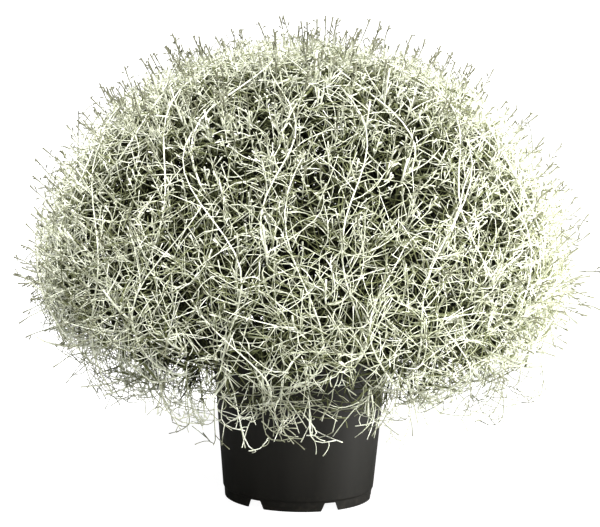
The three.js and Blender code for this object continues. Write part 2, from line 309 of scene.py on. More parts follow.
def tip_way(heading, tilt):
    """The direction in which a stem or leader reaches the crown."""
    return leaning(heading, TIP_LEAN_SHARE * min(tilt, pi / 2))


def hang_share(tilt):
    """From 0 for the top and the sides to 1 for the lowest stems, which hang."""
    return smoothstep((tilt - HANG_FROM) / (LOWEST_AIM - HANG_FROM))


def crown_point(tilt, heading, share):
    """The point on the crown at this angle from the vertical, or a share of the way to it."""
    above = tilt < pi / 2
    height, power = (CROWN_UP, CROWN_UP_POWER) if above else (CROWN_DOWN, CROWN_DOWN_POWER)
    aside = (sin(tilt) / CROWN_RADIUS) ** power
    along = (abs(cos(tilt)) / height) ** power
    reach = share * (aside + along) ** (-1 / power)
    return around(reach * sin(tilt), heading, CROWN_MIDDLE + reach * cos(tilt))


def crown_share(p):
    """How far out each point is, from 0 at the crown's middle to 1 on the crown."""
    rise = p[..., 2] - CROWN_MIDDLE
    above = rise > 0
    height = np.where(above, CROWN_UP, CROWN_DOWN)
    power = np.where(above, CROWN_UP_POWER, CROWN_DOWN_POWER)
    aside = (across(p) / CROWN_RADIUS) ** power
    return (aside + (np.abs(rise) / height) ** power) ** (1 / power)


def pot_radius(z):
    return BASE_RADIUS + (NECK_RADIUS - BASE_RADIUS) * z / (POT_HEIGHT - RIM_BAND)


def near_pot(p, room):
    """True for each point this close to the pot or to what it holds."""
    z = p[..., 2]
    beside = np.where(z > POT_HEIGHT - RIM_BAND - room, RIM_RADIUS, pot_radius(z))
    return (z <= POT_HEIGHT + room) & (across(p) < beside + room)


def clears_pot(paths):
    return ~near_pot(paths, POT_CLEARANCE).any(axis=1)


def bezier(controls, t):
    """Points on a curve of any degree, at each t."""
    t = np.asarray(t, float)[..., None]
    row = list(controls)
    while len(row) > 1:
        row = [a * (1 - t) + b * t for a, b in zip(row, row[1:])]
    return row[0]


def curve(controls, steps):
    return bezier(controls, np.linspace(0, 1, steps + 1))


def place_on(points, at):
    """The place at a share of a line of points, and the line's direction there."""
    steps = len(points) - 1
    whole = min(int(at * steps), steps - 1)
    chord = points[whole + 1] - points[whole]
    return points[whole] + chord * (at * steps - whole), unit(chord)


def stem_limb(index):
    """A stem's main axis, up out of its hole and out to the crown."""
    spread = (index + 0.5) / STEM_COUNT
    tilt = acos(1 - spread * (1 - cos(LOWEST_AIM)))
    heading = index * GOLDEN_ANGLE
    aim = crown_point(tilt, heading, lerp(*STEM_REACH, draw(index, 2)))
    outward = leaning(heading, pi / 2)
    root = ROOT_SPREAD * sqrt(spread) * outward
    root[2] = SOIL_TOP + SOIL_CROWN + SOIL_CRUMB
    start = leaning(heading, ROOT_LEAN * (tilt / LOWEST_AIM) ** ROOT_LEAN_POWER)
    hang = hang_share(tilt)
    bow = BOW * lerp(min(tilt / (pi / 2), 1), ARCH_BOW_SHARE, hang)
    span = norm(aim - root)
    over_rim = max(hypot(aim[0], aim[1]) * SHOULDER_SHARE, RIM_RADIUS + RIM_CLEARANCE)
    shoulder = (over_rim + SHOULDER_OUT) * outward
    shoulder[2] = lerp(*SHOULDER_HEIGHT, draw(index, 3))
    rise = root + start * ROOT_RISE
    out = root + leaning(heading, bow) * lerp(BOW_SHARE * span, ARCH_RISE, hang)
    approach = lerp(aim - APPROACH_SHARE * span * tip_way(heading, tilt), shoulder, hang)
    controls = [root, rise, out, approach, aim]
    return Limb(controls, curve(controls, STEM_STEPS), ROOT_RADIUS, start, tilt, heading)


def leader_limb(stem, index, number):
    """A leader, which forks off the stem and runs out to the crown beside its tip."""
    at = LEADER_STARTS[number] + LEADER_START_SPREAD * (draw(index, number, 11) - 0.5)
    point, along = place_on(stem.points, at)
    roll = (number / len(LEADER_STARTS) + LEADER_TURN_SPREAD * draw(index, 12)) * TURN
    swing = LEADER_SWING * lerp(*LEADER_SWING_VIGOUR, draw(index, number, 13))
    tilt = min(abs(stem.tilt + swing * cos(roll)), LOWEST_AIM + LEADER_LOWER)
    turn = swing * sin(roll) / max(sin(stem.tilt), NARROWEST_TURN)
    heading = stem.heading + turn
    aim = crown_point(tilt, heading, lerp(*LEADER_REACH, draw(index, number, 14)))
    span = norm(aim - point)
    side = aim - point
    side = unit(side - along * (side @ along))
    knee = point + along * KNEE_ALONG * span + side * KNEE_ASIDE * span
    if stem.tilt > HANG_FROM:
        knee[2] += KNEE_LIFT * span
    approach = aim - LEADER_APPROACH_SHARE * span * tip_way(heading, tilt)
    controls = [point, knee, lerp(approach, knee, hang_share(tilt)), aim]
    root_radius = FORK_SHARE * lerp(ROOT_RADIUS, STEM_TIP_RADIUS, at)
    return Limb(controls, curve(controls, LEADER_STEPS), root_radius)


def grow_limbs():
    """Every limb with its stem's number: the main axis of a stem, and then its leaders."""
    limbs = []
    for index in range(STEM_COUNT):
        stem = stem_limb(index)
        limbs.append((index, stem))
        for number in range(len(LEADER_STARTS)):
            limbs.append((index, leader_limb(stem, index, number)))
    return limbs


def bone_segments(limbs):
    """Both ends of each straight piece of each limb, and its stem."""
    starts = np.concatenate([limb.points[:-1] for _, limb in limbs])
    ends = np.concatenate([limb.points[1:] for _, limb in limbs])
    owners = np.repeat([index for index, _ in limbs], [len(limb.points) - 1 for _, limb in limbs])
    return starts, ends, owners


def has_room(p, index, bones):
    """True if a point is in the crown, clear of the pot, and well nearer its own stem than any other."""
    if crown_share(p) >= 1 or near_pot(p, POT_CLEARANCE):
        return False
    starts, ends, owners = bones
    chord = ends - starts
    t = np.clip(np.sum((p - starts) * chord, axis=1) / np.sum(chord * chord, axis=1), 0, 1)
    away = norm(starts + chord * t[:, None] - p, axis=1)
    own = owners == index
    return away[~own].min() > away[own].min() + CELL_MARGIN


def all_forks(limbs):
    """Every place on every limb that a bough can grow from, with the curve's own point there."""
    forks = []
    for index, limb in limbs:
        for order in range(BOUGH_PLACE_STEPS + 1):
            at = lerp(*BOUGH_PLACES, order / BOUGH_PLACE_STEPS)
            point, along = place_on(limb.points, at)
            forks.append((index, order, point, along, bezier(limb.controls, at)))
    return forks


def bough_ends(number, forks, fork_points, bones):
    """A bough's stem, root and tip, or None if it has no room."""
    spread = (number + 0.5) / BOUGH_COUNT
    tilt = acos(1 - spread * (1 - cos(BOUGH_LOWEST)))
    share = BOUGH_SHARES[number % len(BOUGH_SHARES)] + BOUGH_SHARE_SPREAD * (draw(number, 22) - 0.5)
    tip = crown_point(tilt, number * GOLDEN_ANGLE, share)
    chosen = int(np.sum((fork_points - tip) ** 2, axis=1).argmin())
    while forks[chosen][1] > 0:
        _, _, point, along, _ = forks[chosen]
        if unit(tip - point) @ along > cos(BOUGH_FORK):
            break
        chosen -= 1
    index, _, point, _, root = forks[chosen]
    steps = int(norm(tip - point) / BOUGH_STEP)
    step = 0
    while step < steps and has_room(lerp(point, tip, (step + 1) / steps), index, bones):
        step += 1
    if step == 0 or norm(tip - point) * step / steps < BOUGH_SHORTEST:
        return None
    return index, root, lerp(point, tip, step / steps)


def solid_boughs(limbs, rng):
    """The solids' boughs, from the limbs' own curves to the same tips, a little arched."""
    forks, bones = all_forks(limbs), bone_segments(limbs)
    fork_points = np.array([fork[2] for fork in forks])
    paths, owners = [], []
    t = np.linspace(0, 1, BOUGH_STEPS + 1)[:, None]
    for number in range(BOUGH_COUNT):
        found = bough_ends(number, forks, fork_points, bones)
        if found is None:
            continue
        index, root, tip = found
        bow = rng.normal(0, BOUGH_BOW, 3) * norm(tip - root)
        paths.append(root + (tip - root) * t + bow * np.sin(pi * t))
        owners.append(index)
    return Growth(np.array(paths), np.array(owners))


# Where finer growth can be, and which way it turns


def light_way(p):
    """The way that growth turns at each point."""
    away = across(p)
    rise = smoothstep((p[..., 2] - SKIRT_TOP) / (UPRIGHT_FROM - SKIRT_TOP))
    out = OUTWARD[0] + OUTWARD[1] * np.minimum(away / CROWN_RADIUS, 1) ** 3
    way = np.empty_like(p)
    way[..., :2] = out[..., None] * p[..., :2] / np.maximum(away, 0.001)[..., None]
    way[..., 2] = SKIRT_FALL + (1 - SKIRT_FALL) * rise
    return unit(way)


def crown_way(p):
    """The way straight out of the crown's surface at each point."""
    rise = p[..., 2] - CROWN_MIDDLE
    height = np.where(rise > 0, CROWN_UP, CROWN_DOWN)
    way = p / CROWN_RADIUS**2
    way[..., 2] = rise / height**2
    return unit(way)


def lumped_share(p):
    """How far out each point is on a crown with soft humps and sloping shoulders."""
    x, y, z = p[..., 0], p[..., 1], p[..., 2]
    humps = sum(np.sin(a * x + b * y + c * z + shift) for a, b, c, shift in HUMP_WAVES)
    slope = np.exp(-(((z - SLOPE_HEIGHT) / SLOPE_SPREAD) ** 2))
    return crown_share(p) + HUMP * humps + SLOPE * slope


def fullness(z):
    """How dense the fine growth is: full in the dome, and sparse in the skirt."""
    return np.interp(z, SKIRT_HEIGHTS, SKIRT_FULLNESS)


def open_top(z):
    """The same, and a little more open at the very top."""
    top = np.clip((z - 0.36) / 0.07, 0, 1)
    return fullness(z) * lerp(1.0, 0.84, top)


def toward_top(z):
    """The share of clubs that stays: most of them grow round the top."""
    least = 0.3
    return np.clip(lerp(least, 1.0, (z - 0.20) / 0.16), least, 1)


def everywhere(z):
    return np.ones_like(z)


# The thatch: inner twigs that take the darkest tones, which paint shade behind the outer twigs as well as
# their own duller colour.
THATCH = Rule(
    steps=3, spacing=0.0028, lean=(0.6, 1.4), length=(0.040, 0.090), thin=fullness, side=0.0155,
    curl=0.6, pull=0.2, bend=0.5, reach=(0.82, 0.92), shares=(0.05, 0.86),
)
OUTER_TWIGS = Rule(
    steps=5, spacing=0.0055, lean=(0.6, 1.3), length=(0.034, 0.076), thin=open_top, side=0.0132,
    curl=1.9, pull=0.35, bend=0.9, reach=(0.85, 0.92), shares=(0.78, 1.0),
)
INNER_TWIGS = Rule(
    steps=5, spacing=0.007, lean=(0.6, 1.25), length=(0.030, 0.065), thin=fullness, side=0.0185,
    curl=1.4, pull=0.3, bend=1.0, reach=(0.82, 0.88), shares=(0.60, 0.78),
)
SHOOTS = Rule(
    steps=4, spacing=0.006, lean=(0.6, 1.2), length=(0.018, 0.046), thin=open_top, side=0.0101,
    curl=2.4, pull=0.35, bend=0.55, reach=(0.87, 0.95), shares=(0.80, 1.0),
)
SPRIGS = Rule(
    steps=2, spacing=0.008, lean=(0.6, 1.0), length=(0.006, 0.013), thin=open_top, side=0.0180,
    curl=0.5, pull=0.9, bend=0.0, reach=(0.90, 0.97), shares=(0.84, 1.0),
)
CLUBS = Rule(
    steps=3, spacing=0.0060, lean=(0.8, 1.2), length=(0.009, 0.018), thin=toward_top, side=0.0040,
    curl=0.3, pull=0.3, bend=0.0, reach=(0.98, 1.05), shares=(0.80, 1.1), taper=0.3,
)
HOOKS = Rule(
    steps=4, spacing=0.012, lean=(0.6, 1.3), length=(0.010, 0.034), thin=everywhere, side=0.004,
    curl=2.0, pull=0.0, bend=0.0, reach=(1.02, 1.06), shares=(0.3, 1.1),
)


# Side shoots


def perpendicular(along, turn):
    """A unit vector square to each direction, turned about it by an angle."""
    helper = np.where(np.abs(along[:, 2:]) < 0.9, [[0.0, 0.0, 1.0]], [[1.0, 0.0, 0.0]])
    first = unit(helper - along * np.sum(helper * along, axis=1, keepdims=True))
    second = np.cross(along, first)
    return first * np.cos(turn)[:, None] + second * np.sin(turn)[:, None]


def sprout(paths, first, rule, rng):
    """Places, starts, directions and parents of side shoots, past a share of each path."""
    steps = paths.shape[1] - 1
    span = norm(np.diff(paths, axis=1), axis=2).sum(axis=1) * (1 - first)
    count = np.floor(span / rule.spacing + rng.uniform(0, 1, len(paths))).astype(int)
    parent = np.repeat(np.arange(len(paths)), count)
    order = np.arange(len(parent)) - np.repeat(np.cumsum(count) - count, count)
    at = lerp(first, 1, (order + rng.uniform(0.15, 0.85, len(parent))) / count[parent])
    whole = np.minimum((at * steps).astype(int), steps - 1)
    chord = paths[parent, whole + 1] - paths[parent, whole]
    start = paths[parent, whole] + chord * (at * steps - whole)[:, None]
    along = unit(chord)
    turn = order * GOLDEN_ANGLE + rng.uniform(0, TURN, len(paths))[parent]
    angle = rng.uniform(*rule.lean, len(parent))[:, None]
    heading = along * np.cos(angle) + perpendicular(along, turn) * np.sin(angle)
    return at, start, heading, parent


def trace(start, heading, length, curl, reach, rule):
    """Arched paths with their own curl, which bend along the crown's surface near it."""
    path = [start]
    point, way = start, heading
    for _ in range(rule.steps):
        way = unit(way + curl / rule.steps + light_way(point) * rule.pull / rule.steps)
        outward = crown_way(point)
        near = np.clip((lumped_share(point) - reach) / BEND_DEPTH + 1, 0, 1)
        sideways = np.clip(1.15 - 1.3 * outward[:, 2], 0, 1)
        near = near * rule.bend * sideways
        rising = np.maximum(np.sum(way * outward, axis=1), 0)
        way = unit(way - outward * (near * rising)[:, None])
        point = point + way * (length / rule.steps)[:, None]
        path.append(point)
    return np.stack(path, axis=1)


def grow(start, heading, length, curl, reach, rule):
    """Traced paths, shortened to fit in the crown and clear the pot, and which of them do."""
    for _ in range(6):
        paths = trace(start, heading, length, curl, reach, rule)
        fits = clears_pot(paths) & (lumped_share(paths[:, -1]) <= reach + REACH_EXCESS)
        length = np.where(fits, length, length * SHORTENING)
    return paths[fits], fits


def thinned(growth, side, rng):
    """At most one path for each cube of space, by its middle point."""
    paths, owners = growth
    order = rng.permutation(len(paths))
    middles = paths[order, paths.shape[1] // 2]
    _, first = np.unique(np.floor(middles / side).astype(int), axis=0, return_index=True)
    keep = np.sort(order[first])
    return Growth(paths[keep], owners[keep])


def shoots_along(parents, rule, rng):
    """Side shoots along pairs of growth and the share of it that stays bare, thinned out."""
    paths, owners = [], []
    for growth, first in parents:
        at, start, heading, parent = sprout(growth.paths, first, rule, rng)
        count = len(start)
        curls = rng.normal(0, rule.curl, (count, 3))
        reach = rng.uniform(*rule.reach, count)
        length = rng.uniform(*rule.length, count) * lerp(1, rule.taper, at)
        shoots, kept = grow(start, heading, length, curls, reach, rule)
        paths.append(shoots)
        owners.append(growth.owners[parent][kept])
    paths, owners = np.concatenate(paths), np.concatenate(owners)
    middles = paths[:, paths.shape[1] // 2]
    share = crown_share(middles)
    keep = (share > rule.shares[0]) & (share < rule.shares[1])
    keep &= rng.uniform(0, 1, len(paths)) < rule.thin(middles[:, 2])
    return thinned(Growth(paths[keep], owners[keep]), rule.side, rng)


# Growth from the limbs to places that are chosen first


def curve_between(first, first_way, last, last_way, steps, bend=0.4):
    """Arcs between two sets of points, which leave and arrive in the given directions."""
    handle = norm(last - first, axis=1, keepdims=True) * bend
    controls = [first, first + first_way * handle, last - last_way * handle, last]
    return curve([control[:, None] for control in controls], steps)


def crown_targets(side, shares, chances, rng):
    """Points spread evenly through part of the crown, with a chance that changes outwards."""
    flat = np.arange(-CROWN_RADIUS, CROWN_RADIUS, side)
    upright = np.arange(CROWN_MIDDLE - CROWN_DOWN, CROWN_MIDDLE + CROWN_UP, side)
    grid = np.stack(np.meshgrid(flat, flat, upright, indexing="ij"), axis=-1).reshape(-1, 3)
    points = grid + rng.uniform(0, side, grid.shape)
    share = lumped_share(points)
    chance = lerp(*chances, (share - shares[0]) / (shares[1] - shares[0]))
    keep = (share > shares[0]) & (share < shares[1])
    keep &= rng.uniform(0, 1, len(points)) < chance * fullness(points[:, 2])
    return points[keep & ~near_pot(points, room=0.008)]


def place_table(growths):
    tables = []
    for paths, owners in growths:
        count, rings = paths.shape[:2]
        gaps = norm(np.diff(paths, axis=1), axis=2).mean(axis=1)
        ways = unit(np.gradient(paths, axis=1))
        orders = np.tile(np.arange(rings), count)
        places = paths.reshape(-1, 3), ways.reshape(-1, 3)
        tables.append((*places, np.repeat(owners, rings), orders, np.repeat(gaps, rings)))
    return Places(*[np.concatenate(column) for column in zip(*tables)])


def nearest_places(table, targets):
    """The number of the place closest to each target, and how far it is."""
    tree = KDTree(len(table.points))
    for index, point in enumerate(table.points):
        tree.insert(point, index)
    tree.balance()
    found = [tree.find(target)[1:] for target in targets]
    return np.array([f[0] for f in found]), np.array([f[1] for f in found])


def forked_paths(table, targets, fork, stray, light, rng):
    """Paths to the targets that fork off the nearest limb at an angle."""
    nearest, distance = nearest_places(table, targets)
    angle = rng.uniform(*fork, len(targets))
    back = (distance / np.tan(angle) / table.gaps[nearest]).astype(int)
    begin = nearest - np.minimum(back, table.orders[nearest])
    first = table.points[begin]
    toward = unit(targets - first)
    first_way = table.ways[begin] * 0.5 + toward * 0.8 + rng.normal(0, stray, targets.shape)
    last_way = light_way(targets) * light + toward * 0.5
    last_way = last_way + rng.normal(0, stray * 1.6, targets.shape)
    paths = curve_between(first, unit(first_way), targets, unit(last_way), BOUGH_STEPS)
    length = norm(targets - first, axis=1)
    outermost = crown_share(paths).max(axis=1)
    keep = clears_pot(paths) & (length > 0.006) & (outermost < 1.04)
    return Growth(paths[keep], table.owners[begin][keep])


def grow_risers(table, rng):
    """Long stems that run up just under the outside of the crown."""
    lowest, highest = radians(118), radians(24)
    paths = []
    t = np.linspace(0, 1, RISER_STEPS + 1)
    for number in range(RISER_COUNT):
        spread = (number + 0.5) / RISER_COUNT
        middle = acos(1 - spread * (1 - cos(lowest)))
        swing = radians(rng.uniform(20, 32))
        tilts = np.maximum(middle + swing * (1 - 2 * t), highest)
        drift = rng.uniform(-0.14, 0.14) * (2 * t - 1)
        sway = 0.10 * np.sin(t * 6 + rng.uniform(0, TURN))
        headings = number * GOLDEN_ANGLE + drift + sway
        shares = lerp(rng.uniform(0.84, 0.88), rng.uniform(0.91, 0.95), t)
        paths.append([crown_point(*place) for place in zip(tilts, headings, shares)])
    paths = np.array(paths)
    begin, _ = nearest_places(table, paths[:, 0])
    to_limb = table.points[begin] - paths[:, 0]
    pull = np.clip(1 - t / 0.35, 0, 1) ** 1.5
    paths += to_limb[:, None] * pull[None, :, None]
    keep = clears_pot(paths)
    return Growth(paths[keep], table.owners[begin][keep])


def grow_spires(table, rng):
    """Leading shoots that stand clear of the dome, upright and a little outwards."""
    tips = crown_targets(side=0.0190, shares=(0.93, 1.05), chances=(1.0, 0.12), rng=rng)
    upright = np.clip(crown_way(tips)[:, 2], 0, 1)
    chosen = rng.uniform(0, 1, len(tips)) < lerp(0.62, 1.0, upright)
    tips, upright = tips[chosen], upright[chosen]
    depth = rng.uniform(0.030, 0.055, len(tips)) * lerp(0.9, 1.5, upright)
    begin, _ = nearest_places(table, tips - light_way(tips) * depth[:, None])
    first = table.points[begin]
    first_way = light_way(first) + unit(tips - first) + rng.normal(0, 0.15, tips.shape)
    last_way = light_way(tips) + rng.normal(0, 0.14, tips.shape)
    paths = curve_between(first, unit(first_way), tips, unit(last_way), SPIRE_STEPS)
    length, height = norm(tips - first, axis=1), tips[:, 2]
    keep = (length > 0.015) & (length < 0.100) & (height > 0.15)
    return Growth(paths[keep], table.owners[begin][keep])


def grow_strands(table, rng):
    """Long thin shoots that hang from the skirt, and turn up in a hook at their ends."""
    count, innermost = STRAND_COUNT, 0.112
    heading = np.arange(count) * GOLDEN_ANGLE
    out = rng.uniform(innermost, 0.225, count)
    height = rng.uniform(0.072, 0.135, count) + 0.25 * (out - innermost)
    tips = np.stack([out * np.cos(heading), out * np.sin(heading), height], axis=1)
    outward = tips * (1, 1, 0) / out[:, None]
    aside = np.stack([-outward[:, 1], outward[:, 0], np.zeros(count)], axis=1)
    sway = rng.uniform(-1, 1, (count, 1))
    above = tips + aside * sway * 0.045 + np.array([0, 0, 0.075])
    begin, _ = nearest_places(table, above)
    first = table.points[begin]
    fall, lift = (0, 0, 0.5), (0, 0, 0.45)
    first_way = unit(outward * 0.7 - aside * sway + rng.normal(0, 0.3, (count, 3)) - fall)
    last_way = unit(-aside * sway * 1.2 + rng.normal(0, 0.5, (count, 3)) + lift)
    strands = curve_between(first, first_way, tips, last_way, STRAND_STEPS, bend=0.62)
    length = norm(tips - first, axis=1)
    lowest = strands[..., 2].min(axis=1)
    outermost = crown_share(strands).max(axis=1)
    keep = clears_pot(strands) & (length > 0.03) & (lowest > 0.055) & (outermost < 1.07)
    return Growth(strands[keep], table.owners[begin][keep])


# The whole crown


def joined(first, second):
    return Growth(*[np.concatenate(pair) for pair in zip(first, second)])


def finer(growth, times=2):
    """The same growth with points added halfway along its straight pieces."""
    paths = growth.paths
    for _ in range(times):
        count, rings = paths.shape[:2]
        halved = np.empty((count, 2 * rings - 1, 3))
        halved[:, 0::2] = paths
        halved[:, 1::2] = (paths[:, 1:] + paths[:, :-1]) / 2
        paths = halved
    return Growth(paths, growth.owners)


def curved(limbs, rings, owners):
    return Growth(np.array([curve(limb.controls, rings - 1) for limb in limbs]), owners)


def limb_radii(limbs, tip_radius, rings):
    roots = np.array([limb.root_radius for limb in limbs])
    return lerp(roots[:, None], tip_radius, np.linspace(0, 1, rings)[None])


def grow_crown(limbs):
    """All growth of the crown as a list of (growth, radii, sides, tones, buds).

    Radii and buds go from start to tip. Buds are how far each point looks like a bud.
    """
    rng = np.random.default_rng([SEED, 1000])
    stems = np.arange(STEM_COUNT)
    stem_limbs = [limb for _, limb in limbs if limb.start is not None]
    leader_limbs = [limb for _, limb in limbs if limb.start is None]
    axes = curved(stem_limbs, AXIS_RINGS, stems)
    leaders = curved(leader_limbs, LEADER_RINGS, np.repeat(stems, len(LEADER_STARTS)))
    fine_axes, fine_leaders = finer(Growth(axes.paths[:, 2:], stems)), finer(leaders)
    table = place_table([fine_axes, fine_leaders])

    old = solid_boughs(limbs, rng)
    far = crown_targets(side=0.048, shares=(0.86, 0.96), chances=(1.0, 1.0), rng=rng)
    far = forked_paths(table, far, FAR_FORK, stray=0.15, light=1.0, rng=rng)
    table = place_table([fine_leaders, fine_axes, finer(far)])
    near = crown_targets(side=0.0310, shares=(0.50, 0.93), chances=(0.5, 1.0), rng=rng)
    near = forked_paths(table, near, NEAR_FORK, stray=0.45, light=0.3, rng=rng)
    boughs = joined(old, near)
    risers = grow_risers(table, rng)

    thick = [(axes, 0.25), (leaders, 0.1), (far, 0.3)]
    woody = thick + [(boughs, 0.1), (risers, 0.1)]
    thatch = shoots_along(thick, THATCH, rng)
    outer_twigs = shoots_along(woody, OUTER_TWIGS, rng)
    twigs = joined(outer_twigs, shoots_along(woody, INNER_TWIGS, rng))
    shoots = shoots_along([(twigs, 0.12)], SHOOTS, rng)
    sprigs = shoots_along([(twigs, 0.3), (shoots, 0.3)], SPRIGS, rng)

    table = place_table([finer(boughs, 1), finer(far), risers])
    spires = grow_spires(table, rng)
    clubs = shoots_along([(spires, 0.15)], CLUBS, rng)
    strands = grow_strands(table, rng)
    hooks = shoots_along([(strands, 0.15)], HOOKS, rng)

    buried = [limb.controls[0] - limb.start * HOLE_DEPTH for limb in stem_limbs]
    axes = Growth(np.concatenate([np.array(buried)[:, None], axes.paths], axis=1), stems)
    return [
        (axes, limb_radii(stem_limbs, STEM_TIP_RADIUS, AXIS_RINGS + 1), 8, (0.8, 1.0), 0),
        (leaders, limb_radii(leader_limbs, LEADER_TIP_RADIUS, LEADER_RINGS), 6, (0.8, 1.0), 0),
        (far, (0.00095, 0.0009, 0.00085, 0.0008, 0.00075, 0.0007, 0.00055), 5, (0.8, 1.0), 0),
        (risers, np.linspace(0.0009, 0.0005, RISER_STEPS + 1), 5, (0.6, 1.0), 0),
        (boughs, (0.0007, 0.00065, 0.0006, 0.00055, 0.0005, 0.00045, 0.00038), 3, (0.5, 1.0), 0),
        # The thatch's dark tones, and the low tones of some twigs, shoots and sprigs, paint shade between
        # the outer twigs.
        (thatch, (0.0016, 0.0014, 0.0010, 0.0006), 3, (0.0, 0.2), 0),
        (twigs, (0.0005, 0.00048, 0.00046, 0.00044, 0.00042, 0.00048), 3, (0.1, 1.0), TWIG_BUD),
        (shoots, (0.0004, 0.0004, 0.00039, 0.00038, 0.00046), 3, (0.1, 1.0), TWIG_BUD[1:]),
        (sprigs, (0.00042, 0.00044, 0.00050), 3, (0.1, 1.0), (0, 0.2, 0.7)),
        (spires, (0.00058, 0.00054, 0.0005, 0.00048, 0.00048, 0.00085), 4, (0.5, 1.0), SPIRE_BUD),
        (clubs, (0.00040, 0.00040, 0.00092, 0.00055), 3, (0.3, 1.0), (0, 0.3, 1, 1)),
        (strands, (*np.linspace(0.0006, 0.0005, STRAND_STEPS), 0.0006), 4, (0.7, 1.0), 0),
        (hooks, (0.00048, 0.00047, 0.00046, 0.00045, 0.00065), 3, (0.6, 1.0), 0),
    ]


# Meshes of the growth


def tube(paths, radii, sides):
    """Tubes round many paths at once: corners, side faces, tip faces."""
    count, rings = paths.shape[:2]
    along = np.empty_like(paths)
    along[:, 1:-1] = paths[:, 2:] - paths[:, :-2]
    along[:, 0] = paths[:, 1] - paths[:, 0]
    along[:, -1] = paths[:, -1] - paths[:, -2]
    along = unit(along)
    aside = perpendicular(along[:, 0], np.zeros(count))
    angle = np.arange(sides) * TURN / sides
    corners = np.empty((count, rings, sides, 3))
    for ring in range(rings):
        axis = along[:, ring]
        aside = unit(aside - axis * np.sum(aside * axis, axis=1, keepdims=True))
        third = np.cross(axis, aside)
        spokes = aside[:, None] * np.cos(angle)[None, :, None]
        spokes = spokes + third[:, None] * np.sin(angle)[None, :, None]
        corners[:, ring] = paths[:, ring, None] + spokes * radii[:, ring, None, None]
    ring, side = np.meshgrid(np.arange(rings - 1), np.arange(sides), indexing="ij")
    here = ring * sides + side
    there = ring * sides + (side + 1) % sides
    wall = np.stack([here, there, there + sides, here + sides], axis=-1).reshape(-1, 4)
    base = np.arange(count)[:, None, None] * rings * sides
    walls = (base + wall[None]).reshape(-1, 4)
    tips = (base[:, 0] + (rings - 1) * sides + np.arange(sides)[None]).reshape(-1, sides)
    return corners.reshape(-1, 3), walls, tips


def shade_look_share(p):
    """How far out each point looks on the felt's ramp: pale over the pot, with no painted shade there,
    and moved out towards the tips' dark end in the outer skirt, which paints shade on it.
    """
    share, away, z = crown_share(p), across(p), p[:, 2]
    over_pot = (z < 0.18) & (away < 0.17)
    share = np.where(over_pot, np.minimum(share, PALE_LOOK), share)
    skirt = np.clip((0.17 - z) / 0.03, 0, 1) * np.clip((away - 0.16) / 0.03, 0, 1)
    return np.where(share > 0.8, lerp(share, SKIRT_SHADE_LOOK, skirt), share)


def spray_mesh(name, crown, index):
    """All the tubes of one leafy stem as one mesh, with looks for each point, which also carry the felt's
    painted shade.
    """
    rng = np.random.default_rng([SEED, index])
    corners, faces, tones, buds, limits = [], [], [], [], []
    total = 0
    for (paths, owners), radii, sides, tone, bud in crown:
        mine = owners == index
        if not mine.any():
            continue
        radii = np.broadcast_to(radii, paths.shape[:2])[mine]
        some_corners, walls, tips = tube(paths[mine], radii, sides)
        corners.append(some_corners)
        faces += [walls + total, tips + total]
        total += len(some_corners)
        tones.append(np.repeat(rng.uniform(*tone, mine.sum()), paths.shape[1] * sides))
        buds.append(np.repeat(np.broadcast_to(bud, radii.shape).ravel(), sides))
        limit = WOODY_LOOK if radii[:, 0].max() > WOODY_RADIUS else np.inf
        limits.append(np.full(len(some_corners), limit))
    corners = np.concatenate(corners)
    sizes = np.concatenate([np.full(len(group), group.shape[1]) for group in faces])
    indices = np.concatenate([group.ravel() for group in faces])
    mesh = bpy.data.meshes.new(name)
    mesh.vertices.add(len(corners))
    mesh.vertices.foreach_set("co", corners.astype(np.float32).ravel())
    mesh.loops.add(len(indices))
    mesh.loops.foreach_set("vertex_index", indices.astype(np.int32))
    mesh.polygons.add(len(sizes))
    mesh.polygons.foreach_set("loop_start", (np.cumsum(sizes) - sizes).astype(np.int32))
    mesh.polygons.foreach_set("loop_total", sizes.astype(np.int32))
    mesh.polygons.foreach_set("use_smooth", np.ones(len(sizes), bool))
    mesh.update(calc_edges=True)
    # The looked share sets the felt's painted shade; the woody kinds are kept from its darkest end.
    share = np.minimum(shade_look_share(corners), np.concatenate(limits))
    looks = {"share": share, "tone": np.concatenate(tones), "bud": np.concatenate(buds)}
    for title, values in looks.items():
        layer = mesh.attributes.new(title, "FLOAT", "POINT")
        layer.data.foreach_set("value", values.astype(np.float32))
    return mesh


# The pot and the soil


def lathe(profile, sides):
    """Corners and faces of a form turned about the axis, which its profile starts and ends on."""
    angle = np.arange(sides) * TURN / sides
    rings = [[around(radius, a, height) for a in angle] for radius, height in profile[1:-1]]
    corners = [(0, 0, profile[0][1])] + [corner for ring in rings for corner in ring]
    corners.append((0, 0, profile[-1][1]))
    last = len(corners) - 1
    faces = []
    for side in range(sides):
        after = (side + 1) % sides
        faces.append((0, 1 + after, 1 + side))
        for ring in range(len(rings) - 1):
            here, above = 1 + ring * sides, 1 + (ring + 1) * sides
            faces.append((here + side, here + after, above + after, above + side))
        top = 1 + (len(rings) - 1) * sides
        faces.append((top + side, top + after, last))
    return corners, faces


def rounded(profile, radius=0.0006, steps=4):
    """The same outline with its sharp corners rounded off."""
    smooth = [profile[0]]
    for before, corner, after in zip(profile, profile[1:], profile[2:]):
        before, corner, after = np.array(before), np.array(corner), np.array(after)
        back, ahead = before - corner, after - corner
        cut = min(radius, 0.4 * min(norm(back), norm(ahead)))
        first, last = corner + unit(back) * cut, corner + unit(ahead) * cut
        for t in np.linspace(0, 1, steps + 1):
            smooth.append(tuple(first * (1 - t) ** 2 + corner * 2 * t * (1 - t) + last * t**2))
    smooth.append(profile[-1])
    return smooth


